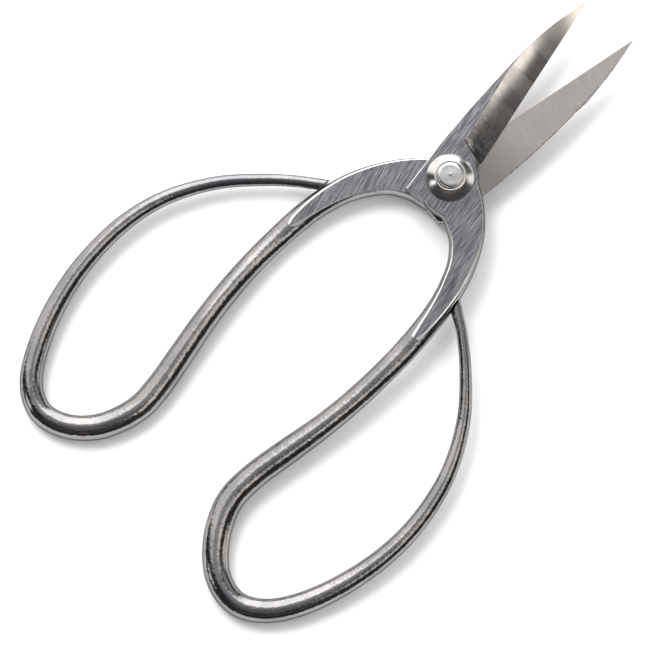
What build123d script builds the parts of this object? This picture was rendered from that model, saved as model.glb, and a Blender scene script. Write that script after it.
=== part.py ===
from build123d import *
import math
import os

# Floral snips: two one-piece forgings, each a blade, a shank and a looped handle,
# crossing at a riveted pivot with a cup washer on each side.
#
# Shared frame, in millimetres: Z is the pivot axis, z = 0 is the flat rear end of the rivet,
# +Y is the bisector of the open blades towards the tips, +X is to the upper half's handle.
# The upper half's blade lies on the -X side and its handle loop on the +X side.

# pivot stack, from the rear up
PLATE = 4.3               # thickness of both ground plates
SHEAR_GAP = 0.06          # running gap between the two mating faces
RUN_GAP = 0.05            # running gap between the front washer's rim and the upper half
REAR_PLATE_Z = 2.6        # underside of the lower half's plate
SHEAR_Z = REAR_PLATE_Z + PLATE + SHEAR_GAP / 2
FRONT_PLATE_Z = SHEAR_Z + SHEAR_GAP / 2 + PLATE

# pivot hardware
SHAFT_R = 2.5
BORE_R = SHAFT_R + 0.05
WASHER_R = 6.0
LIP_R = 3.9               # the washer's raised lip, outside
HEAD_R = 3.35             # the rivet's turned head, which sits just inside the lip
CONE_R = 2.6              # the shallow cone on top of the head
REST_R = 2.7              # the flat rear end that the tool rests on
FRONT_CUP = 2.3           # height of the front washer's cup
REAR_CUP = 1.5
SEAT_DEPTH = 0.4          # depth of the seat inside each washer's lip
HEAD_H = 2.4              # the front head's height above its seat, to the nipple's point

# opening: the whole angle between the blades at rest, shared by the two halves
OPEN_ANGLE = 15.0

# blade, in one half's own frame: z = 0 is the shear plane, +Z the outer face, +Y the tip,
# and the handle leaves on the +X side
TIP = (0.1, 60.2)
HEEL = (3.6, 9.0)
EDGE_MID = (1.5, 39.0)    # gives the cutting edge its slight belly
EDGE_THICK = 0.15         # the cutting edge's own thickness
TIP_THICK = 2.4           # the blade thins from the plate to this at its tip
BEVEL_W = 6.6             # width of the ground bevel, across the cutting edge
BEVEL_BULGE = 0.45        # how far the bevel's curve stands proud of a flat grind
UPPER_CORNER = [(-7.3, -8.65)]                # where the spine meets the plate's rear edge
LOWER_CORNER = [(-7.5, -7.5), (-6.4, -8.65)]
INNER_SIDE = [(0.0, -8.65), (5.0, -6.5), (6.2, 0.0), (6.3, 4.0), (4.6, 5.6), (3.3, 6.8), (3.1, 7.6)]

UPPER_SPINE = [(-7.2, 1.5), (-7.4, 6.5), (-7.0, 13.0), (-6.5, 21.0), (-5.6, 32.0), (-4.5, 44.0), (-2.65, 51.0)]
LOWER_SPINE = [(-7.95, 1.5), (-8.1, 7.0), (-7.45, 20.0), (-6.2, 33.0), (-4.2, 45.0), (-2.3, 53.0)]

# The bar, from the blade's root round the loop to its tail. Each row is one oval section:
# x and y of its centre, its width, and the heights of its outer and mating crowns. Crowns
# outside 0..PLATE on the shank are ground away, which leaves its two pointed flats.
UPPER_BAR = [
    (-2.0, 1.4, 14.7, PLATE + 5.0, -5.0),
    (1.5, -1.9, 15.4, PLATE + 4.6, -4.6),
    (7.3, -4.7, 11.5, PLATE + 3.0, -3.0),
    (12.1, -9.6, 9.1, PLATE + 1.9, -1.9),
    (15.2, -15.6, 7.4, PLATE + 1.25, -1.25),
    (16.8, -21.9, 6.7, PLATE + 0.9, -0.9),
    (17.5, -28.5, 6.2, PLATE + 0.5, -0.5),
    (17.5, -35.0, 6.0, PLATE + 0.2, -0.2),
    (17.0, -42.5, 5.9, PLATE - 0.1, 0.1),
    (16.0, -50.0, 5.8, 4.2, -0.5),
    (14.2, -60.0, 5.9, 4.15, -1.5),
    (11.7, -70.0, 6.1, 4.1, -2.1),
    (8.4, -80.5, 6.6, 4.1, -2.35),
    (5.3, -91.0, 6.7, 4.1, -2.35),
    (4.6, -99.5, 6.8, 4.1, -2.4),
    (7.7, -108.5, 6.7, 4.05, -2.35),
    (13.5, -115.6, 6.4, 4.0, -2.2),
    (20.8, -118.3, 6.2, 3.95, -2.1),
    (28.0, -115.6, 6.0, 3.9, -1.9),
    (34.4, -108.6, 5.8, 3.85, -1.8),
    (40.0, -98.0, 5.4, 3.8, -1.5),
    (44.0, -85.5, 4.9, 3.75, -1.1),
    (45.3, -73.0, 4.5, 3.7, -0.7),
    (43.8, -60.0, 4.0, 3.65, -0.3),
    (39.0, -47.5, 3.5, 3.6, 0.15),
    (31.8, -37.0, 3.0, 3.6, 0.6),
    (25.6, -30.0, 2.7, 3.5, 0.8),
]
LOWER_BAR = [
    (-2.0, 1.0, 14.0, PLATE + 4.0, -4.0),
    (1.75, -2.7, 13.9, PLATE + 3.4, -3.4),
    (6.35, -6.0, 11.4, PLATE + 2.3, -2.3),
    (10.45, -10.5, 8.9, PLATE + 1.7, -1.7),
    (13.2, -15.4, 7.8, PLATE + 1.25, -1.25),
    (15.2, -21.0, 7.0, PLATE + 0.95, -0.95),
    (16.4, -28.0, 6.5, PLATE + 0.55, -0.55),
    (16.6, -35.0, 6.2, PLATE + 0.2, -0.2),
    (16.1, -42.5, 5.9, PLATE - 0.1, 0.1),
    (15.0, -51.0, 5.8, 4.2, -0.5),
    (13.0, -61.0, 5.9, 4.15, -1.5),
    (10.3, -71.0, 6.1, 4.1, -2.2),
    (7.1, -81.0, 6.4, 4.1, -2.35),
    (4.3, -90.0, 6.6, 4.1, -2.35),
    (3.1, -98.0, 6.6, 4.1, -2.35),
    (5.2, -107.3, 6.5, 4.05, -2.3),
    (10.4, -114.0, 6.2, 4.0, -2.2),
    (17.6, -117.0, 6.0, 3.95, -2.0),
    (25.0, -114.3, 5.8, 3.9, -1.9),
    (31.5, -106.8, 5.5, 3.85, -1.7),
    (37.2, -96.5, 5.1, 3.8, -1.4),
    (41.3, -84.5, 4.7, 3.75, -1.0),
    (43.2, -71.0, 4.3, 3.7, -0.6),
    (41.9, -58.5, 3.8, 3.65, -0.2),
    (37.0, -46.0, 3.4, 3.6, 0.2),
    (29.8, -35.6, 3.1, 3.6, 0.5),
    (24.2, -29.2, 3.0, 3.6, 0.7),
]
GROUND_TO = -42.5         # the flats are ground no further down the shank than this

# the tail's mitred end, which stands a hairline off the shank's outer side
TAIL_GAP = 0.35
TAIL_LEN = 4.0            # length of the mitre along the shank
FILL = 3                  # sections made for each row of the bar
UPPER_TAIL = (20.25, -25.7, 2.7)   # x of the shank's side, y of the mitre's middle, bar height
LOWER_TAIL = (19.35, -25.0, 2.9)


def smooth(rows):
    """Fills in sections between the given ones, on a smooth curve through every column."""
    filled = []
    for i in range(len(rows) - 1):
        a, b, c, d = (rows[max(0, min(k, len(rows) - 1))] for k in range(i - 1, i + 3))
        for step in range(FILL):
            t = step / FILL
            row = []
            for p, q, r, s in zip(a, b, c, d):
                bend = 2 * p - 5 * q + 4 * r - s + (3 * q - p - 3 * r + s) * t
                row.append(q + t * (r - p + t * bend) / 2)
            filled.append(tuple(row))
    return filled + [rows[-1]]


def oval(x, y, across, outer, mating, width):
    """One section of the bar: an ellipse standing upright across the bar's own direction."""
    middle = Vector(x, y, (outer + mating) / 2)
    upright = Plane(origin=middle, x_dir=across, z_dir=across.cross(Vector(0, 0, 1)))
    a, b = width / 2, (outer - mating) / 2
    sides = [EllipticalCenterArc((0, 0), a, b, turn, arc_size=180) for turn in (-90, 90)]
    return upright * make_face(sides)


def bar(rows, tail):
    """The whole bar as one skin: shank, loop and thin tail, ending in its mitre."""
    side_x, tail_y, tail_height = tail
    end = (side_x + TAIL_GAP, tail_y)
    points = [(row[0], row[1]) for row in rows] + [end]
    sections = []
    for i, (x, y, width, outer, mating) in enumerate(rows):
        before = points[max(i - 1, 0)]
        after = points[i + 1]
        along = Vector(after[0] - before[0], after[1] - before[1], 0).normalized()
        sections.append(oval(x, y, Vector(-along.Y, along.X, 0), outer, mating, width))
    outer = PLATE / 2 + tail_height / 2
    mating = PLATE / 2 - tail_height / 2
    sections.append(oval(*end, Vector(0, -1, 0), outer, mating, TAIL_LEN))
    return loft([section.face() for section in sections])


def grind(shank_bar):
    """Grinds both faces of the shank flat, as far as the points of the flats."""
    for z in (PLATE, -8.0):
        tool = Box(50, 60, 8, align=(Align.CENTER, Align.MIN, Align.MIN))
        shank_bar -= Pos(0, GROUND_TO, z) * tool
    return shank_bar


def plate(spine, corner):
    """The blade and the pivot's plate, from the rear corner to the tip."""
    edge = ThreePointArc(HEEL, EDGE_MID, TIP)
    back = Spline([TIP] + spine[::-1])
    rear = Polyline([spine[0]] + corner + INNER_SIDE + [HEEL])
    outline = make_face([edge, back, rear])
    return extrude(outline, PLATE)


def thickness(y):
    """The blade's thickness at a height y: the plate's at the heel, thinning evenly to the tip."""
    return PLATE - (PLATE - TIP_THICK) * (y - HEEL[1]) / (TIP[1] - HEEL[1])


def thinning():
    """What the blade loses on its outer side between the heel and the tip."""
    end = TIP[1] + 2
    side = Polyline((HEEL[1], PLATE), (end, thickness(end)), (end, PLATE + 1), (HEEL[1], PLATE + 1), close=True)
    return extrude(Plane.YZ.offset(-WASHER_R * 2) * make_face(side), WASHER_R * 4)


def bevel_section(along, distance):
    """What the bevel's grind takes off, as a section square to the cutting edge."""
    origin = Vector(HEEL[0], HEEL[1], 0) + along * distance
    low = (0.0, EDGE_THICK)
    high = (BEVEL_W, thickness(origin.Y))
    slope = math.atan2(high[1] - low[1], high[0] - low[0])
    bulge = (
        (low[0] + high[0]) / 2 - BEVEL_BULGE * math.sin(slope),
        (low[1] + high[1]) / 2 + BEVEL_BULGE * math.cos(slope),
    )
    curve = ThreePointArc(low, bulge, high)
    rest = Polyline(high, (BEVEL_W, PLATE + 2), (-4, PLATE + 2), (-4, EDGE_THICK), low)
    return Plane(origin=origin, x_dir=(-along.Y, along.X, 0), z_dir=along) * make_face([curve, rest])


def bevel_tool():
    """The bevel's grind drawn along the cutting edge and past the tip."""
    run = Vector(TIP[0] - HEEL[0], TIP[1] - HEEL[1], 0)
    along = run.normalized()
    return loft([bevel_section(along, 0), bevel_section(along, run.length + 5)], ruled=True)


def half(spine, corner, rows, tail, bore_r):
    """One forging in its own frame."""
    shank = grind(bar(smooth(rows), tail))
    blade = plate(spine, corner) - thinning() - bevel_tool()
    bore = Cylinder(bore_r, 4 * PLATE)
    return blade + shank - bore


def turned(points_and_arcs):
    """Turns a closed profile, drawn as x = radius and z = height, about the pivot axis."""
    return revolve(make_face(Plane.XZ * Curve(points_and_arcs)), Axis.Z)


def cup_washer(height):
    """A cup washer standing on its rim at z = 0, with a lip round the rivet's seat."""
    seat = height - SEAT_DEPTH
    side = ThreePointArc((WASHER_R, 0.35), (5.2, 0.68 * height), (LIP_R, height))
    inside = [
        (LIP_R, height),
        (HEAD_R + 0.08, height),
        (HEAD_R + 0.08, seat),
        (BORE_R, seat),
        (BORE_R, seat - 0.8),
        (3.2, seat - 0.8),
        (5.2, 0),
        (WASHER_R, 0),
        (WASHER_R, 0.35),
    ]
    return turned([side, Polyline(inside)])


def rivet():
    """The pivot rivet: a closing head at the rear, the shaft, and the turned front head."""
    rear_seat = REAR_PLATE_Z - REAR_CUP + SEAT_DEPTH
    seat = FRONT_PLATE_Z + RUN_GAP + FRONT_CUP - SEAT_DEPTH
    top = seat + HEAD_H
    rear_round = ThreePointArc((REST_R, 0), (HEAD_R - 0.2, 0.2), (HEAD_R, 0.65))
    shaft = [
        (HEAD_R, 0.65),
        (HEAD_R, rear_seat),
        (SHAFT_R, rear_seat),
        (SHAFT_R, seat),
        (HEAD_R, seat),
        (HEAD_R, seat + 0.55),
    ]
    shoulder = ThreePointArc((HEAD_R, seat + 0.55), (3.17, seat + 0.99), (CONE_R, seat + 1.2))
    cone = [(CONE_R, seat + 1.2), (CONE_R - 0.08, seat + 1.12), (0.6, top - 0.4), (0.25, top - 0.05)]
    axis = [(0.25, top - 0.05), (0, top), (0, 0), (REST_R, 0)]
    return turned([rear_round, Polyline(shaft), shoulder, Polyline(cone + axis[1:])])


def main():
    os.makedirs("parts", exist_ok=True)
    upper = half(UPPER_SPINE, UPPER_CORNER, UPPER_BAR, UPPER_TAIL, BORE_R)
    upper = Pos(0, 0, SHEAR_Z + SHEAR_GAP / 2) * Rot(0, 0, OPEN_ANGLE / 2) * upper
    lower = half(LOWER_SPINE, LOWER_CORNER, LOWER_BAR, LOWER_TAIL, SHAFT_R)
    lower = Pos(0, 0, SHEAR_Z - SHEAR_GAP / 2) * Rot(0, 0, -OPEN_ANGLE / 2) * Rot(0, 180, 0) * lower
    front_washer = Pos(0, 0, FRONT_PLATE_Z + RUN_GAP) * cup_washer(FRONT_CUP)
    rear_washer = Pos(0, 0, REAR_PLATE_Z) * Rot(180, 0, 0) * cup_washer(REAR_CUP)
    export_step(upper, "parts/upper_half.step")
    export_step(lower, "parts/lower_half.step")
    export_step(front_washer, "parts/front_washer.step")
    export_step(rear_washer, "parts/rear_washer.step")
    export_step(rivet(), "parts/pivot_rivet.step")


main()
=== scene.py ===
import bpy
import bmesh
import math
from mathutils import Matrix, Vector

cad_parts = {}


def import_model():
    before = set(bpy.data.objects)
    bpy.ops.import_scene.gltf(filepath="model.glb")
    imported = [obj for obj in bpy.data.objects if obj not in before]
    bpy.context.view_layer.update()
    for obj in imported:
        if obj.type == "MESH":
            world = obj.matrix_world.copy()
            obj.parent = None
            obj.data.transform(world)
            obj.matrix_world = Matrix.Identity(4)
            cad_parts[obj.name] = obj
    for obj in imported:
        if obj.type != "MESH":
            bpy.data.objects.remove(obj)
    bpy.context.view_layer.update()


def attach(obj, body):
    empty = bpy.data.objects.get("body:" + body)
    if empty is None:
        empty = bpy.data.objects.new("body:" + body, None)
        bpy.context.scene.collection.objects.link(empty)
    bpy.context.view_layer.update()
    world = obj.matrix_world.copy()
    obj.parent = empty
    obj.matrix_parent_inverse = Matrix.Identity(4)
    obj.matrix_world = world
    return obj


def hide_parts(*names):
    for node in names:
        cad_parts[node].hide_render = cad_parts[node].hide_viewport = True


# Floral snips: two steel forgings crossing at a riveted pivot with a cup washer on each side.
# The shapes below are drawn in millimetres in one half's own frame, as in the CAD: z = 0 is the
# mating face, +Z the outer face, +Y the tip, and the handle leaves on the +X side.

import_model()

MM = 0.001

# pivot stack, as in the CAD, from the rear up
PLATE = 4.3               # thickness of both ground plates
SHEAR_GAP = 0.06          # running gap between the two mating faces
RUN_GAP = 0.05            # running gap between the front washer's rim and the upper half
REAR_PLATE_Z = 2.6        # underside of the lower half's plate
SHEAR_Z = REAR_PLATE_Z + PLATE + SHEAR_GAP / 2
FRONT_PLATE_Z = SHEAR_Z + SHEAR_GAP / 2 + PLATE
SHAFT_R = 2.5
BORE_R = SHAFT_R + 0.05
WASHER_R = 6.0
LIP_R = 3.9               # the washer's raised lip, outside
HEAD_R = 3.35             # the rivet's heads, the front one just inside the lip
REST_R = 2.7              # the flat rear end that the tool rests on
FRONT_CUP = 2.3           # height of the front washer's cup
REAR_CUP = 1.5
SEAT_DEPTH = 0.4          # depth of the seat inside each washer's lip
OPEN_ANGLE = 15.0         # the whole angle between the blades at rest

# blade
TIP = (0.1, 60.2)
TIP_THICK = 2.4           # the blade thins from the plate to this at its tip
HEEL = (3.6, 9.0)
EDGE_THICK = 0.15         # the cutting edge's own thickness
REAR_EDGE = -8.65         # y of the plate's rear edge
BREAK = 0.2               # width of the bright broken edge along every ground face
BREAK_DROP = 0.55         # its depth as a part of that width
NARROW_BREAK = 0.1        # the most of the blade's own width that it takes, near the tip
UPPER_SPINE = [
    (-7.3, -8.65), (-7.2, 1.5), (-7.25, 6.5), (-7.0, 13.0), (-6.5, 21.0),
    (-5.6, 32.0), (-4.9, 39.0), (-4.0, 45.0), (-2.75, 51.0), (0.0, 60.2),
]
LOWER_SPINE = [
    (-6.4, -8.65), (-7.5, -7.5), (-7.95, 1.5), (-8.1, 7.0), (-7.45, 20.0),
    (-6.2, 33.0), (-4.2, 45.0), (-2.3, 53.0), (0.0, 60.2),
]
INNER_SIDE = [
    (0.0, -8.65), (5.0, -6.5), (6.2, 0.0), (6.3, 4.0), (4.6, 5.6),
    (3.3, 6.8), (3.1, 7.6), HEEL, TIP,
]
BEVEL_WIDTH = [
    (6.25, 9.0), (6.65, 19.0), (6.9, 30.0), (6.5, 37.0),
    (6.2, 41.0), (6.4, 48.0), (8.0, 60.2),
]
BEVEL_BULGE = 0.5         # how far the bevel stands proud of a flat grind
FLAT_GRIND = (38.0, 54.0)    # the bulge fades out between these heights up the blade
UPPER_LEAN = 0.0          # how far the spine's wall leans in, as a part of the thickness
LOWER_LEAN = 0.2
PLUNGE_Y = 7.65           # where the bevel's grind runs out, measured at the cutting edge
PLUNGE_LEN = 0.7
PLUNGE_SLANT = 0.36       # how far up the blade that line climbs for each millimetre across
SLANT_TO = 45.0           # y at which the blade's sections are square to its axis again
HONED_FROM = -3.5         # y from which the mating face is honed

# The bar, from the blade's root round the loop to its tail, as in the CAD: x and y of each
# section's centre, its width, and the heights of its outer and mating crowns. Crowns outside
# 0..PLATE on the shank are ground away, which leaves its two pointed flats.
UPPER_BAR = [
    (-2.0, 1.4, 14.7, PLATE + 5.0, -5.0),
    (1.5, -1.9, 15.4, PLATE + 4.6, -4.6),
    (7.3, -4.7, 11.5, PLATE + 3.0, -3.0),
    (12.1, -9.6, 9.1, PLATE + 1.9, -1.9),
    (15.2, -15.6, 7.4, PLATE + 1.25, -1.25),
    (16.8, -21.9, 6.7, PLATE + 0.9, -0.9),
    (17.5, -28.5, 6.2, PLATE + 0.5, -0.5),
    (17.5, -35.0, 6.0, PLATE + 0.2, -0.2),
    (17.0, -42.5, 5.9, PLATE - 0.1, 0.1),
    (16.0, -50.0, 5.8, 4.2, -0.5),
    (14.2, -60.0, 5.9, 4.15, -1.5),
    (11.7, -70.0, 6.1, 4.1, -2.1),
    (8.4, -80.5, 6.6, 4.1, -2.35),
    (5.3, -91.0, 6.7, 4.1, -2.35),
    (4.6, -99.5, 6.8, 4.1, -2.4),
    (7.7, -108.5, 6.7, 4.05, -2.35),
    (13.5, -115.6, 6.4, 4.0, -2.2),
    (20.8, -118.3, 6.2, 3.95, -2.1),
    (28.0, -115.6, 6.0, 3.9, -1.9),
    (34.4, -108.6, 5.8, 3.85, -1.8),
    (40.0, -98.0, 5.4, 3.8, -1.5),
    (44.0, -85.5, 4.9, 3.75, -1.1),
    (45.3, -73.0, 4.5, 3.7, -0.7),
    (43.8, -60.0, 4.0, 3.65, -0.3),
    (39.0, -47.5, 3.5, 3.6, 0.15),
    (31.8, -37.0, 3.0, 3.6, 0.6),
    (25.6, -30.0, 2.7, 3.5, 0.8),
]
LOWER_BAR = [
    (-2.0, 1.0, 14.0, PLATE + 4.0, -4.0),
    (1.75, -2.7, 13.9, PLATE + 3.4, -3.4),
    (6.35, -6.0, 11.4, PLATE + 2.3, -2.3),
    (10.45, -10.5, 8.9, PLATE + 1.7, -1.7),
    (13.2, -15.4, 7.8, PLATE + 1.25, -1.25),
    (15.2, -21.0, 7.0, PLATE + 0.95, -0.95),
    (16.4, -28.0, 6.5, PLATE + 0.55, -0.55),
    (16.6, -35.0, 6.2, PLATE + 0.2, -0.2),
    (16.1, -42.5, 5.9, PLATE - 0.1, 0.1),
    (15.0, -51.0, 5.8, 4.2, -0.5),
    (13.0, -61.0, 5.9, 4.15, -1.5),
    (10.3, -71.0, 6.1, 4.1, -2.2),
    (7.1, -81.0, 6.4, 4.1, -2.35),
    (4.3, -90.0, 6.6, 4.1, -2.35),
    (3.1, -98.0, 6.6, 4.1, -2.35),
    (5.2, -107.3, 6.5, 4.05, -2.3),
    (10.4, -114.0, 6.2, 4.0, -2.2),
    (17.6, -117.0, 6.0, 3.95, -2.0),
    (25.0, -114.3, 5.8, 3.9, -1.9),
    (31.5, -106.8, 5.5, 3.85, -1.7),
    (37.2, -96.5, 5.1, 3.8, -1.4),
    (41.3, -84.5, 4.7, 3.75, -1.0),
    (43.2, -71.0, 4.3, 3.7, -0.6),
    (41.9, -58.5, 3.8, 3.65, -0.2),
    (37.0, -46.0, 3.4, 3.6, 0.2),
    (29.8, -35.6, 3.1, 3.6, 0.5),
    (24.2, -29.2, 3.0, 3.6, 0.7),
]
GROUND_TO = -42.5         # y below which the bar is left round
TAIL_GAP = 0.35           # between the tail's mitred end and the shank's side
TAIL_LEN = 4.0            # length of the mitre along the shank
UPPER_TAIL = (20.25, -25.7, 2.7)    # x of the shank's side there, y and the tail's height
LOWER_TAIL = (19.35, -25.0, 2.9)

# material slots of a half
ROD, GROUND, BEVEL, HONED, EDGE = range(5)

WELD = 1e-4               # points closer than this are one


# ---------------------------------------------------------------- curves

def catmull(rows, fill):
    """Rows filled in on a smooth curve through every column, fill steps for each row."""
    filled = []
    for i in range(len(rows) - 1):
        a, b, c, d = (rows[max(0, min(k, len(rows) - 1))] for k in range(i - 1, i + 3))
        for step in range(fill):
            t = step / fill
            row = []
            for p, q, r, s in zip(a, b, c, d):
                bend = 2 * p - 5 * q + 4 * r - s + (3 * q - p - 3 * r + s) * t
                row.append(q + t * (r - p + t * bend) / 2)
            filled.append(tuple(row))
    return filled + [tuple(rows[-1])]


def along_y(points, y):
    """x of a polyline of (x, y) points that rises in y, at height y."""
    if y <= points[0][1]:
        return points[0][0]
    for (x0, y0), (x1, y1) in zip(points, points[1:]):
        if y <= y1:
            return x0 + (x1 - x0) * (y - y0) / (y1 - y0)
    return points[-1][0]


def ease(a, b, x):
    """0 below a, 1 above b and a soft step between."""
    t = max(0.0, min(1.0, (x - a) / (b - a)))
    return t * t * (3 - 2 * t)


# ---------------------------------------------------------------- meshes

def mesh_object(name, verts, faces, materials, slots=None):
    """An object of these faces, welded and facing outwards. slots gives each face's material."""
    mesh = bpy.data.meshes.new(name)
    mesh.from_pydata(verts, [], faces)
    for material in materials:
        mesh.materials.append(material)
    if slots:
        for polygon, slot in zip(mesh.polygons, slots):
            polygon.material_index = slot
    bm = bmesh.new()
    bm.from_mesh(mesh)
    bmesh.ops.remove_doubles(bm, verts=bm.verts, dist=WELD)
    bmesh.ops.dissolve_degenerate(bm, dist=WELD, edges=bm.edges)
    bmesh.ops.recalc_face_normals(bm, faces=bm.faces)
    bm.to_mesh(mesh)
    bm.free()
    obj = bpy.data.objects.new(name, mesh)
    bpy.context.scene.collection.objects.link(obj)
    return obj


def skin(name, rings, materials, ring_slots, cap_slot):
    """A closed skin over equal rings. ring_slots(i, k) is one quad's slot."""
    count = len(rings[0])
    verts = [p for ring in rings for p in ring]
    faces = []
    slots = []
    for i in range(len(rings) - 1):
        for k in range(count):
            n = (k + 1) % count
            a = i * count
            b = a + count
            faces.append((a + k, a + n, b + n, b + k))
            slots.append(ring_slots(i, k))
    last = (len(rings) - 1) * count
    faces.append(tuple(range(count)))
    faces.append(tuple(last + k for k in range(count)))
    return mesh_object(name, verts, faces, materials, slots + [cap_slot, cap_slot])


def boolean(obj, tool, operation):
    """obj joined with or cut by tool, which is used up."""
    modifier = obj.modifiers.new("cut", "BOOLEAN")
    modifier.operation = operation
    modifier.solver = "EXACT"
    modifier.object = tool
    graph = bpy.context.evaluated_depsgraph_get()
    result = bpy.data.meshes.new_from_object(obj.evaluated_get(graph))
    obj.modifiers.clear()
    obj.data = result
    bpy.data.objects.remove(tool)
    return obj


FORGED_CREASE = 28.0      # degrees
TURNED_CREASE = 24.0


def crease(obj, degrees):
    """Smooth shading with hard edges where the surface turns sharply or the finish changes."""
    bm = bmesh.new()
    bm.from_mesh(obj.data)
    limit = math.radians(degrees)
    for face in bm.faces:
        face.smooth = True
    for edge in bm.edges:
        faces = edge.link_faces
        if len(faces) == 2:
            turned = edge.calc_face_angle(0.0) > limit
            edge.smooth = not (turned or faces[0].material_index != faces[1].material_index)
    bm.to_mesh(obj.data)
    bm.free()


# ---------------------------------------------------------------- the bar of one half

SIDE_STEPS = 16
BAND_STEPS = 6
BAR_FILL = 8
LEAST_BAND = 0.07         # the narrowest top band, as a part of the half width
SIDE_SHORT = math.radians(3)    # how far a round side stops short of the band's corner


def band_corner(a, b, middle, plane, ground):
    """u and z of the flat's corner, and the side's last angle, above the section's middle."""
    rise = (plane - middle) / b
    cut = ground and rise < 1.0
    half = a * math.sqrt(1 - rise * rise) if cut else 0.0
    u = max(half - BREAK, a * LEAST_BAND)
    z = b * math.sqrt(1 - (u / a) ** 2)
    side = math.acos(u / a) - SIDE_SHORT
    if cut:
        z = min(z, plane - middle)
        side = min(side, math.asin(max(-1.0, (plane - middle - BREAK * BREAK_DROP) / b)))
    return u, z, side


def bar_ring(row, across, ground):
    """One section of the bar, from its lower right corner round by the top."""
    x, y, width, outer, mating = row
    a = width / 2
    b = (outer - mating) / 2
    middle = (outer + mating) / 2
    top_u, top_z, top_side = band_corner(a, b, middle, PLATE, ground)
    low_u, low_z, low_side = band_corner(a, b, -middle, 0.0, ground)
    points = []
    for step in range(SIDE_STEPS + 1):
        turn = -low_side + (top_side + low_side) * step / SIDE_STEPS
        points.append((a * math.cos(turn), b * math.sin(turn)))
    highest = top_z if ground and outer > PLATE else b
    for step in range(BAND_STEPS + 1):
        u = top_u * (1 - 2 * step / BAND_STEPS)
        points.append((u, min(highest, b * math.sqrt(1 - (u / a) ** 2))))
    for step in range(SIDE_STEPS + 1):
        turn = top_side - (top_side + low_side) * step / SIDE_STEPS
        points.append((-a * math.cos(turn), b * math.sin(turn)))
    lowest = low_z if ground and mating < 0 else b
    for step in range(BAND_STEPS + 1):
        u = -low_u * (1 - 2 * step / BAND_STEPS)
        points.append((u, -min(lowest, b * math.sqrt(1 - (u / a) ** 2))))
    return [(x + u * across[0], y + u * across[1], middle + z) for u, z in points]


def bar(rows, tail, materials):
    """The whole bar as one skin: shank, loop and thin tail, ending in its mitre."""
    side_x, tail_y, tail_height = tail
    filled = catmull(rows, BAR_FILL)
    end = (side_x + TAIL_GAP, tail_y)
    points = [(row[0], row[1]) for row in filled] + [end]
    rings = []
    flat = []
    for i, row in enumerate(filled):
        before = points[max(i - 1, 0)]
        after = points[i + 1]
        along = Vector((after[0] - before[0], after[1] - before[1])).normalized()
        ground = row[1] > GROUND_TO
        rings.append(bar_ring(row, (-along.y, along.x), ground))
        flat.append(ground and row[3] > PLATE)
    outer = PLATE / 2 + tail_height / 2
    mating = PLATE / 2 - tail_height / 2
    rings.append(bar_ring((*end, TAIL_LEN, outer, mating), (0, -1), False))
    flat.append(False)

    side = SIDE_STEPS
    top = side + BAND_STEPS + 2
    left = top + side
    low = left + BAND_STEPS + 2

    def slot(i, k):
        """Ground flats, with a bright edge on each side of them, on an otherwise round bar."""
        if not (flat[i] and flat[i + 1]):
            return ROD
        if k in (side, top - 1, left, low - 1):
            return EDGE
        if side < k < top - 1 or left < k < low - 1:
            return GROUND
        return ROD

    return skin("bar", rings, materials, slot, ROD)


# ---------------------------------------------------------------- the blade of one half

BEVEL_STEPS = 10
FLAT_STEPS = 3
FACE_STEPS = 4
WIDTH_FILL = 10
SPINE_FILL = 6


def thickness(y):
    """The plate's thickness up to the heel, thinning evenly to the tip."""
    return PLATE - (PLATE - TIP_THICK) * max(0.0, y - HEEL[1]) / (TIP[1] - HEEL[1])


def bevel_height(part, thick, bulge):
    """Height of the bevel at a part of its width, from the cutting edge at 0 to its top at 1."""
    rise = EDGE_THICK + (thick - EDGE_THICK) * part
    return min(thick, rise + 4 * bulge * part * (1 - part))


def blade_ring(y, spine, widths, lean):
    """One section of the blade and plate, a slanted slice from the cutting edge to the spine."""
    edge_x = along_y(INNER_SIDE, y)
    slant = PLUNGE_SLANT * ease(REAR_EDGE, PLUNGE_Y, y) * (1 - ease(PLUNGE_Y, SLANT_TO, y))
    back_x = along_y(spine, y)
    for _ in range(6):    # the slanted slice settles on the spine
        back_x = along_y(spine, y + slant * (edge_x - back_x))
    width = edge_x - back_x
    edge_break = min(BREAK, width * NARROW_BREAK)
    nominal = along_y(widths, y)
    ground = ease(PLUNGE_Y, PLUNGE_Y + PLUNGE_LEN, y)
    bevel = min(nominal, width - 1.3 * edge_break)
    bulge = BEVEL_BULGE * (1 - ease(*FLAT_GRIND, y))

    def top(s):
        thick = thickness(y + slant * s)
        if s >= nominal:
            return thick
        return thick + (bevel_height(s / nominal, thick, bulge) - thick) * ground

    heights = [(0.0, 0.0), (0.0, top(0.0) - (1 - ground) * BREAK)]
    for step in range(1, BEVEL_STEPS + 1):
        s = bevel * step / BEVEL_STEPS
        heights.append((s, top(s)))
    crown = top(bevel)
    inset = lean * crown * ease(0.0, 4 * edge_break, width - edge_break - bevel)
    for step in range(1, FLAT_STEPS + 1):
        s = bevel + (width - inset - edge_break - bevel) * step / FLAT_STEPS
        heights.append((s, min(crown, top(s))))
    heights.append((width - inset, heights[-1][1] - edge_break * BREAK_DROP))
    heights.append((width, edge_break))
    for step in range(FACE_STEPS):
        heights.append(((width - edge_break) * (1 - step / FACE_STEPS), 0.0))
    return [(edge_x - s, y + slant * s, z) for s, z in heights]


PLUNGE_STATIONS = 5
EDGE_STATIONS = 44
EDGE_RUN = 50.1           # how far up from the heel the even sections reach
SAME_Y = 0.01             # heights closer than this are the same


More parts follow.
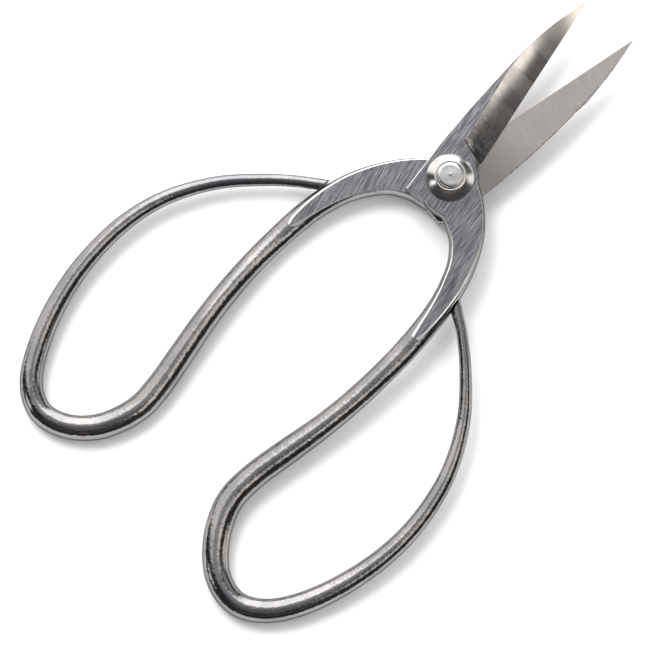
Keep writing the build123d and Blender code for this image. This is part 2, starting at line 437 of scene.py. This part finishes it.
def stations():
    """Heights up the blade at which its sections stand, closer together round the plunge."""
    plate = [REAR_EDGE, -8.1, -7.5, -6.5, -3.0, 0.0, 2.0, 4.0, 5.6, 6.8, 7.6]
    plunge = [PLUNGE_Y + PLUNGE_LEN * k / PLUNGE_STATIONS for k in range(PLUNGE_STATIONS + 1)]
    edge = [HEEL[1] + EDGE_RUN * k / EDGE_STATIONS for k in range(EDGE_STATIONS + 1)]
    point = [TIP[1] - 0.7, TIP[1] - 0.3, TIP[1] - 0.05]
    return plate + plunge + edge + point


def blade(spine, lean, materials):
    """The ground blade and the pivot's plate, from the rear edge to the tip."""
    curve = [spine[0]] + catmull(spine[1:], SPINE_FILL)
    ys = stations()
    widths = catmull(BEVEL_WIDTH, WIDTH_FILL)
    rings = [blade_ring(y, curve, widths, lean) for y in ys]
    wall = 1 + BEVEL_STEPS + FLAT_STEPS

    def slot(i, k):
        """From the cutting edge over the bevel and the flat, down the spine and back below."""
        if k == 0:
            return EDGE if ys[i] > PLUNGE_Y else GROUND
        if k <= BEVEL_STEPS:
            if ys[i] > PLUNGE_Y + PLUNGE_LEN - SAME_Y:
                return BEVEL
            return ROD if ys[i + 1] > PLUNGE_Y + SAME_Y else GROUND
        if k < wall:
            return GROUND
        if k == wall or k == wall + 2:
            return EDGE
        if k == wall + 1:
            return GROUND
        return HONED if ys[i] > HONED_FROM else GROUND

    return skin("blade", rings, materials, slot, GROUND)


DRILL_STEPS = 96
DRILL_ENDS = (-5.0, 10.0)    # z, well clear of both faces


def drill(radius, materials):
    """The round cutter for the pivot's bore."""
    turns = [2 * math.pi * k / DRILL_STEPS for k in range(DRILL_STEPS)]
    rings = [[(radius * math.cos(t), radius * math.sin(t), z) for t in turns] for z in DRILL_ENDS]
    return skin("drill", rings, materials, lambda i, k: ROD, ROD)


def half(name, spine, lean, rows, tail, bore_r, place, materials):
    """One whole forging in the shared frame: blade and plate, bar and the pivot's bore."""
    obj = blade(spine, lean, materials)
    boolean(obj, bar(rows, tail, materials), "UNION")
    boolean(obj, drill(bore_r, materials), "DIFFERENCE")
    obj.data.transform(place)
    crease(obj, FORGED_CREASE)
    obj.name = name
    obj.data.name = name
    return obj


def placed(z, turn, flip=False):
    """The half's own frame in millimetres, carried to the shared frame in metres."""
    m = Matrix.Translation((0, 0, z)) @ Matrix.Rotation(math.radians(turn), 4, "Z")
    if flip:
        m = m @ Matrix.Rotation(math.pi, 4, "Y")
    return Matrix.Scale(MM, 4) @ m


# ---------------------------------------------------------------- turned pieces

def arc(start, bulge, end, steps):
    """A smooth run of points from start to end that passes bulge half way."""
    points = []
    for step in range(steps + 1):
        t = step / steps
        points.append(tuple(
            (1 - t) * (1 - 2 * t) * s + 4 * t * (1 - t) * m + t * (2 * t - 1) * e
            for s, m, e in zip(start, bulge, end)
        ))
    return points


TURN_STEPS = 128          # flats round a turned piece


def turned(name, profile, material, place=None):
    """A closed profile of (radius, z) turned about the Z axis, and then placed."""
    turns = [2 * math.pi * k / TURN_STEPS for k in range(TURN_STEPS)]
    count = len(profile)
    verts = [(r * math.cos(t), r * math.sin(t), z) for t in turns for r, z in profile]
    faces = []
    for i in range(TURN_STEPS):
        a = i * count
        b = (i + 1) % TURN_STEPS * count
        for k in range(count):
            n = (k + 1) % count
            if profile[k][0] or profile[n][0]:
                faces.append((a + k, b + k, b + n, a + n))
    obj = mesh_object(name, verts, faces, [material])
    obj.data.transform(Matrix.Scale(MM, 4) @ (place or Matrix.Identity(4)))
    crease(obj, TURNED_CREASE)
    return obj


RIM_PART = 0.27           # the rim's outer wall, as a part of the cup's height
CROWN = (5.05, 0.635)     # a radius half way up the cup's side, and its part of the height
CUP_WALL = 0.8
CUP_INNER = (3.2, 5.2)    # the hollow's radii, under the seat and at the rim
HEAD_CLEAR = 0.08         # round the rivet's head, inside the lip
RIM_ROUND = 0.08


def cup_profile(height):
    """A cup washer, from the rim up its side, over the lip and back under."""
    seat = height - SEAT_DEPTH
    crown_r, crown_part = CROWN
    top_inner, rim_inner = CUP_INNER
    side = arc(
        (WASHER_R, RIM_PART * height),
        (crown_r, crown_part * height),
        (LIP_R + 0.12, height - 0.1),
        14,
    )
    lip = arc(
        (LIP_R + 0.1, height - 0.06),
        (LIP_R - 0.12, height),
        (LIP_R - 0.38, height - 0.06),
        6,
    )
    inside = [
        (HEAD_R + HEAD_CLEAR, height - 0.16),
        (HEAD_R + HEAD_CLEAR, seat),
        (BORE_R, seat),
        (BORE_R, seat - CUP_WALL),
        (top_inner, seat - CUP_WALL),
        (rim_inner, 0.0),
        (WASHER_R - RIM_ROUND, 0.0),
        (WASHER_R, RIM_ROUND),
    ]
    return side + lip + inside


def rivet_profile():
    """The rivet, from its flat rear end up to the small nipple on its turned face."""
    rear_seat = REAR_PLATE_Z - REAR_CUP + SEAT_DEPTH
    seat = FRONT_PLATE_Z + RUN_GAP + FRONT_CUP - SEAT_DEPTH
    rear = arc((REST_R, 0.0), (HEAD_R - 0.2, 0.2), (HEAD_R, 0.65), 6)
    shaft = [(HEAD_R, rear_seat), (SHAFT_R, rear_seat), (SHAFT_R, seat), (HEAD_R, seat)]
    shoulder = arc((HEAD_R, seat + 0.5), (3.15, seat + 1.0), (2.62, seat + 1.2), 8)
    face = arc((2.5, seat + 1.21), (1.5, seat + 1.22), (0.44, seat + 1.25), 8)
    nipple = arc((0.4, seat + 1.3), (0.28, seat + 1.54), (0.0, seat + 1.62), 6)
    return rear + shaft + shoulder + face + nipple + [(0.0, 0.0)]


# ---------------------------------------------------------------- materials

class Nodes:
    """A short way to write a node tree."""

    def __init__(self, tree):
        self.tree = tree

    def node(self, kind, **values):
        made = self.tree.nodes.new(kind)
        for key, value in values.items():
            setattr(made, key, value)
        return made

    def link(self, source, target):
        self.tree.links.new(source, target)

    def fill(self, socket, value):
        if isinstance(value, bpy.types.NodeSocket):
            self.link(value, socket)
        else:
            socket.default_value = value

    def coords(self):
        return self.node("ShaderNodeTexCoord").outputs["Object"]

    def axes(self, vector):
        parts = self.node("ShaderNodeSeparateXYZ")
        self.link(vector, parts.inputs[0])
        return parts.outputs

    def bump(self, shader, height, strength=1.0, distance=1.0):
        made = self.node("ShaderNodeBump")
        made.inputs["Strength"].default_value = strength
        made.inputs["Distance"].default_value = distance
        self.link(height, made.inputs["Height"])
        self.link(made.outputs[0], shader.inputs["Normal"])

    def math(self, operation, a, b=0.0, clamp=False):
        made = self.node("ShaderNodeMath", operation=operation, use_clamp=clamp)
        self.fill(made.inputs[0], a)
        self.fill(made.inputs[1], b)
        return made.outputs[0]

    def span(self, value, low, high, out_low=0.0, out_high=1.0):
        made = self.node("ShaderNodeMapRange", interpolation_type="SMOOTHSTEP")
        for socket, given in zip(made.inputs, (value, low, high, out_low, out_high)):
            self.fill(socket, given)
        return made.outputs[0]

    def noise(self, vector, scale, detail=3.0, roughness=0.6):
        made = self.node("ShaderNodeTexNoise")
        self.fill(made.inputs["Vector"], vector)
        made.inputs["Scale"].default_value = scale
        made.inputs["Detail"].default_value = detail
        made.inputs["Roughness"].default_value = roughness
        return made.outputs["Fac"]

    def blend(self, factor, a, b):
        made = self.node("ShaderNodeMix", data_type="RGBA")
        self.fill(made.inputs["Factor"], factor)
        self.fill(made.inputs["A"], a)
        self.fill(made.inputs["B"], b)
        return made.outputs["Result"]


def grain(n, angle, along, across):
    """Object coordinates turned to the grain and stretched along it and in depth.

    The angle is in degrees from +Y, and both sizes are in millimetres."""
    turn = n.node("ShaderNodeMapping", vector_type="POINT")
    n.link(n.coords(), turn.inputs["Vector"])
    turn.inputs["Rotation"].default_value = (0, 0, math.radians(-angle))
    stretch = n.node("ShaderNodeMapping", vector_type="POINT")
    n.link(turn.outputs[0], stretch.inputs["Vector"])
    stretch.inputs["Scale"].default_value = (1 / (across * MM), 1 / (along * MM), 1 / (along * MM))
    return stretch.outputs[0]


def metal(name):
    """A bare metal: its material, a node writer for it and its shader."""
    material = bpy.data.materials.new(name)
    material.use_nodes = True
    n = Nodes(material.node_tree)
    shader = material.node_tree.nodes["Principled BSDF"]
    shader.inputs["Metallic"].default_value = 1.0
    return material, n, shader


def ground_steel(name, dark, light, angle, roughness):
    """Belt-ground flats: long fine scratches over a blue-grey ground, with a few deeper ones."""
    material, n, shader = metal(name)
    fine = n.noise(grain(n, angle, 5.0, 0.2), 1.0, 3.0, 0.65)
    long_lines = n.noise(grain(n, angle + 3.0, 12.0, 0.28), 1.0, 1.0, 0.5)
    cloudy = n.noise(grain(n, angle, 9.0, 5.0), 1.0, 2.0, 0.5)
    scratch = n.span(long_lines, 0.58, 0.66)
    fine_tone = n.math("MULTIPLY", n.span(fine, 0.38, 0.62), 0.72)
    tone = n.math("ADD", fine_tone, n.math("MULTIPLY", cloudy, 0.28))
    tone = n.math("ADD", tone, n.math("MULTIPLY", scratch, 0.30), clamp=True)
    n.link(n.blend(tone, dark, light), shader.inputs["Base Color"])
    n.link(n.span(fine, 0.2, 0.8, roughness + 0.08, roughness - 0.06), shader.inputs["Roughness"])
    n.bump(shader, n.math("SUBTRACT", fine, n.math("MULTIPLY", scratch, 0.5)), 0.7, 0.00005)
    return material


def honed_steel(name, dark, light, angle, roughness, relief):
    """Fine cross-grain left by the wheel, on the bevel and on the flat mating face.

    relief is the depth of its lines in millimetres. The caller links what comes back."""
    material, n, shader = metal(name)
    fine = n.noise(grain(n, angle, 7.0, 0.35), 1.0, 3.0, 0.7)
    bands = n.noise(grain(n, angle, 30.0, 3.0), 1.0, 2.0, 0.5)
    lines = n.noise(grain(n, angle, 8.0, 0.5), 1.0, 1.0, 0.5)
    fine_tone = n.math("MULTIPLY", n.span(fine, 0.35, 0.65), 0.4)
    tone = n.math("ADD", fine_tone, n.math("MULTIPLY", bands, 0.6))
    colour = n.blend(tone, dark, light)
    rough = n.span(bands, 0.3, 0.7, roughness + 0.04, roughness - 0.04)
    n.link(rough, shader.inputs["Roughness"])
    return material, n, shader, colour, n.math("MULTIPLY", lines, relief * MM)


def mating_steel(name, angle):
    """The flat inner face, with painted shade that darkens its colour towards the pivot."""
    dark = (0.34, 0.32, 0.30, 1)
    light = (0.49, 0.458, 0.428, 1)
    material, n, shader, colour, relief = honed_steel(name, dark, light, angle, 0.32, 0.004)
    # painted shade: the colour darkens towards the pivot, where the upper plate's edge shades the face
    past_pivot_shade = n.span(n.axes(n.coords())[1], 0.008, 0.024)
    n.link(n.blend(past_pivot_shade, (0.26, 0.245, 0.23, 1), colour), shader.inputs["Base Color"])
    n.bump(shader, relief)
    return material


def bevel_steel(name, angle):
    """The honed bevel: painted shade darkens it towards the heel, where it is pebbled rather than
    grained, and a painted highlight lightens it towards the tip."""
    dark = (0.60, 0.575, 0.55, 1)
    light = (0.84, 0.81, 0.78, 1)
    material, n, shader, colour, relief = honed_steel(name, dark, light, angle, 0.28, 0.008)
    coords = n.coords()
    up_blade = n.axes(coords)[1]
    pebble = n.noise(coords, 900.0, 3.0, 0.6)
    # this mask lifts the painted heel shade, and it also hands the pebbling over to the grain
    honed = n.span(n.math("ADD", up_blade, n.math("MULTIPLY", pebble, 0.006)), 0.012, 0.034)
    # painted shade: a dark pebbled colour towards the heel
    painted_heel_shade = n.blend(n.span(pebble, 0.3, 0.7), (0.20, 0.20, 0.20, 1), (0.40, 0.39, 0.38, 1))
    # painted highlight: the colour lightens towards the tip
    painted_tip_highlight = n.blend(n.span(up_blade, 0.032, 0.056), colour, (0.93, 0.88, 0.84, 1))
    n.link(n.blend(honed, painted_heel_shade, painted_tip_highlight), shader.inputs["Base Color"])
    grained = n.math("MULTIPLY", relief, honed)
    pebble_height = n.math("MULTIPLY", pebble, 0.00012)
    pebbled = n.math("MULTIPLY", n.math("SUBTRACT", 1.0, honed), pebble_height)
    n.bump(shader, n.math("ADD", grained, pebbled))
    return material


PEBBLE_HEIGHT = 0.00008


def rod_steel(name, dark, light, roughness):
    """Polished forged bar: a mirror with shallow pebbling and a few dull patches."""
    material, n, shader = metal(name)
    shader.inputs["Specular Tint"].default_value = (0.26, 0.25, 0.23, 1)
    coords = n.coords()
    pebble = n.noise(coords, 1400.0, 2.0, 0.5)
    ripple = n.noise(coords, 260.0, 2.0, 0.5)
    stain = n.noise(coords, 90.0, 3.0, 0.6)
    n.link(n.blend(n.span(stain, 0.3, 0.7), dark, light), shader.inputs["Base Color"])
    dull = n.span(pebble, 0.3, 0.75, roughness - 0.03, roughness + 0.09)
    n.link(dull, shader.inputs["Roughness"])
    n.bump(shader, n.math("ADD", pebble, n.math("MULTIPLY", ripple, 1.5)), 0.75, PEBBLE_HEIGHT)
    return material


def edge_steel(name):
    """The broken edges, with a painted highlight: a colour far lighter than the bar's, for the glint
    their small chamfers catch, varying at random along them.
    """
    material, n, shader = metal(name)
    highlight_noise = n.noise(n.coords(), 500.0, 3.0, 0.6)
    # painted highlight: the broken edges' colour runs far lighter than the bar's
    n.link(n.blend(highlight_noise, (0.62, 0.62, 0.64, 1), (0.92, 0.91, 0.90, 1)), shader.inputs["Base Color"])
    n.link(n.span(highlight_noise, 0.3, 0.7, 0.32, 0.2), shader.inputs["Roughness"])
    return material


def turned_steel(name):
    """Lathe-turned and polished: faint rings about the pivot axis, and faint smudges."""
    material, n, shader = metal(name)
    coords = n.coords()
    x, y, z = n.axes(coords)
    square = n.math("ADD", n.math("POWER", x, 2.0), n.math("POWER", y, 2.0))
    rings = n.node("ShaderNodeCombineXYZ")
    n.link(n.math("MULTIPLY", n.math("SQRT", square), 9000.0), rings.inputs[0])
    n.link(n.math("MULTIPLY", z, 5000.0), rings.inputs[2])
    lines = n.noise(rings.outputs[0], 1.0, 2.0, 0.6)
    smudge = n.noise(coords, 400.0, 2.0, 0.5)
    colour = n.blend(smudge, (0.56, 0.55, 0.53, 1), (0.74, 0.73, 0.71, 1))
    n.link(colour, shader.inputs["Base Color"])
    n.link(n.span(smudge, 0.3, 0.7, 0.16, 0.25), shader.inputs["Roughness"])
    n.bump(shader, lines, 0.12, 0.00001)
    return material


# ---------------------------------------------------------------- studio

CAMERA_AZIMUTH = math.radians(44.0)
CAMERA_ELEVATION = math.radians(77.0)
CAMERA_DISTANCE = 1.0
CAMERA_AIM = Vector((0.00198, -0.04738, 0.0))
CAMERA_LENS = 219.3

BACK = Vector((
    math.sin(CAMERA_AZIMUTH) * math.cos(CAMERA_ELEVATION),
    -math.cos(CAMERA_AZIMUTH) * math.cos(CAMERA_ELEVATION),
    math.sin(CAMERA_ELEVATION),
))
RIGHT = Vector((math.cos(CAMERA_AZIMUTH), math.sin(CAMERA_AZIMUTH), 0.0))
UP = BACK.cross(RIGHT)


def camera():
    data = bpy.data.cameras.new("camera")
    data.lens = CAMERA_LENS
    data.sensor_width = 36.0
    data.clip_start = 0.01
    holder = bpy.data.objects.new("camera", data)
    bpy.context.scene.collection.objects.link(holder)
    holder.location = CAMERA_AIM + CAMERA_DISTANCE * BACK
    holder.rotation_euler = (math.pi / 2 - CAMERA_ELEVATION, 0, CAMERA_AZIMUTH)
    bpy.context.scene.camera = holder


FLOOR_RISE = (0.0265, -0.0329)    # the snips lean a little: their three contact points' slope
FLOOR_SIZE = 3.0
FLOOR_DROP = 0.0001


def floor():
    """A sheet of pale paper under the snips."""
    corners = []
    for across, along in ((-1, -1), (1, -1), (1, 1), (-1, 1)):
        x = across * FLOOR_SIZE
        y = along * FLOOR_SIZE
        corners.append((x, y, FLOOR_RISE[0] * x + FLOOR_RISE[1] * y - FLOOR_DROP))
    mesh = bpy.data.meshes.new("floor")
    mesh.from_pydata(corners, [], [(0, 1, 2, 3)])
    obj = bpy.data.objects.new("floor", mesh)
    bpy.context.scene.collection.objects.link(obj)
    material = bpy.data.materials.new("paper")
    material.use_nodes = True
    shader = material.node_tree.nodes["Principled BSDF"]
    shader.inputs["Base Color"].default_value = (0.78, 0.78, 0.78, 1)
    shader.inputs["Roughness"].default_value = 0.9
    shader.inputs["Specular IOR Level"].default_value = 0.1
    mesh.materials.append(material)


# One row for each lit part of the studio, as it lies round the line from the snips to the
# camera: its bearing clockwise from the picture's top, its angle off that line, the softness
# of its borders, its colour and its strength.
STUDIO = [
    ((-180, 180), (-20, 22), 10, (0.95, 0.97, 1.05), 0.27),
    ((-62, 62), (14, 34), 7, (0.97, 0.98, 1.03), 0.6),
    ((40, 126), (24, 40), 5, (1.0, 0.95, 0.89), 1.6),
    ((-62, 26), (34, 104), 6, (1.0, 0.98, 0.98), 1.5),
    ((-22, 22), (40, 104), 4, (1.0, 0.985, 1.0), 3.0),
    ((-98, -85), (56, 74), 4, (0.96, 0.98, 1.0), 2.0),
    ((-158, -142), (78, 108), 4, (1.0, 0.97, 0.93), 1.3),
    ((28, 60), (48, 80), 8, (1.0, 0.99, 0.97), 0.65),
    ((68, 92), (70, 104), 5, (1.0, 0.98, 0.95), 1.3),
    ((140, 235), (39, 43), 2, (1.0, 0.82, 0.68), 0.35),
]
DARK = (0.055, 0.054, 0.056, 1)


def world():
    """The studio that the steel mirrors: soft-edged windows of light in a dark room."""
    made = bpy.data.worlds.new("studio")
    bpy.context.scene.world = made
    made.use_nodes = True
    n = Nodes(made.node_tree)
    ray = n.node("ShaderNodeTexCoord").outputs["Generated"]

    def share(axis):
        """How far the ray runs along an axis."""
        dot = n.node("ShaderNodeVectorMath", operation="DOT_PRODUCT")
        n.link(ray, dot.inputs[0])
        dot.inputs[1].default_value = axis
        return dot.outputs["Value"]

    bearing = n.math("MULTIPLY", n.math("ARCTAN2", share(RIGHT), share(UP)), 180 / math.pi)
    off_line = n.math("MULTIPLY", n.math("ARCCOSINE", share(BACK)), 180 / math.pi)

    def window(value, low, high, soft):
        """1 between low and high, and soft at both borders."""
        rise = n.span(value, low - soft, low + soft)
        fall = n.span(value, high - soft, high + soft, 1.0, 0.0)
        return n.math("MULTIPLY", rise, fall)

    colour = DARK
    for (left, right), (near, far), soft, tint, strength in STUDIO:
        middle = (left + right) / 2
        centred = n.math("WRAP", n.math("SUBTRACT", bearing, middle), 180.0)
        centred.node.inputs[2].default_value = -180.0
        mask = n.math(
            "MULTIPLY",
            window(centred, left - middle, right - middle, soft),
            window(off_line, near, far, soft),
        )
        lit = tuple(c * strength for c in tint) + (1,)
        colour = n.blend(mask, colour, lit)
    n.fill(made.node_tree.nodes["Background"].inputs["Color"], colour)
    made.node_tree.nodes["Background"].inputs["Strength"].default_value = 1.0


LIGHT_DISTANCE = 1.3


def soft_light(name, kind, towards, **values):
    """A light on the paper alone: the polished steel mirrors only the studio's windows."""
    data = bpy.data.lights.new(name, kind)
    for key, value in values.items():
        setattr(data, key, value)
    holder = bpy.data.objects.new(name, data)
    bpy.context.scene.collection.objects.link(holder)
    towards = towards.normalized()
    holder.location = CAMERA_AIM + LIGHT_DISTANCE * towards
    holder.rotation_euler = towards.to_track_quat("Z", "Y").to_euler()
    holder.visible_glossy = False


def lights():
    """A broad key that throws the shadows down to the right, and a fill from the whole sky."""
    key_side = 0.75 * UP - 0.45 * RIGHT + 0.9 * BACK
    soft_light("key", "AREA", key_side, shape="DISK", size=0.7, energy=11.0)
    soft_light("fill", "SUN", BACK + 0.2 * RIGHT - 0.2 * UP, angle=math.radians(150), energy=1.9)


# ---------------------------------------------------------------- build

def build():
    """Every piece, put on its body in place of the CAD node it stands for. The table also names a
    material slot for each, which is not used.
    """
    rod = rod_steel("polished_rod", (0.25, 0.25, 0.26, 1), (0.34, 0.33, 0.32, 1), 0.11)
    # the broken edges' material carries a painted highlight
    edge = edge_steel("painted_highlight_edge")
    bevel = bevel_steel("bevel_satin", 97.0)
    upper_slots = [
        rod,
        ground_steel("upper_ground", (0.07, 0.07, 0.077, 1), (0.35, 0.35, 0.365, 1), 7.5, 0.28),
        bevel,
        mating_steel("upper_honed", 90.0),
        edge,
    ]
    lower_slots = [
        rod,
        ground_steel("lower_ground", (0.085, 0.085, 0.093, 1), (0.38, 0.38, 0.40, 1), 14.0, 0.28),
        bevel,
        mating_steel("lower_honed", 70.0),
        edge,
    ]
    upper_place = placed(SHEAR_Z + SHEAR_GAP / 2, OPEN_ANGLE / 2)
    lower_place = placed(SHEAR_Z - SHEAR_GAP / 2, -OPEN_ANGLE / 2, flip=True)
    upper = half(
        "upper_forging", UPPER_SPINE, UPPER_LEAN, UPPER_BAR, UPPER_TAIL, BORE_R, upper_place, upper_slots
    )
    lower = half(
        "lower_forging", LOWER_SPINE, LOWER_LEAN, LOWER_BAR, LOWER_TAIL, SHAFT_R, lower_place, lower_slots
    )
    hardware = turned_steel("turned_steel")
    front_place = Matrix.Translation((0, 0, FRONT_PLATE_Z + RUN_GAP))
    rear_place = Matrix.Translation((0, 0, REAR_PLATE_Z)) @ Matrix.Rotation(math.pi, 4, "X")
    front = turned("front_cup_washer", cup_profile(FRONT_CUP), hardware, front_place)
    rear = turned("rear_cup_washer", cup_profile(REAR_CUP), hardware, rear_place)
    rivet = turned("turned_rivet", rivet_profile(), hardware)
    for piece, body, node, slot in (
        (upper, "upper_snip", "upper_half", "ground_steel"),
        (lower, "lower_snip", "lower_half", "ground_steel"),
        (front, "lower_snip", "front_washer", "turned_steel"),
        (rear, "lower_snip", "rear_washer", "turned_steel"),
        (rivet, "lower_snip", "pivot_rivet", "turned_steel"),
    ):
        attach(piece, body)
        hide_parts(node)


build()
floor()
world()
lights()
camera()
bpy.context.scene.view_settings.view_transform = "Standard"
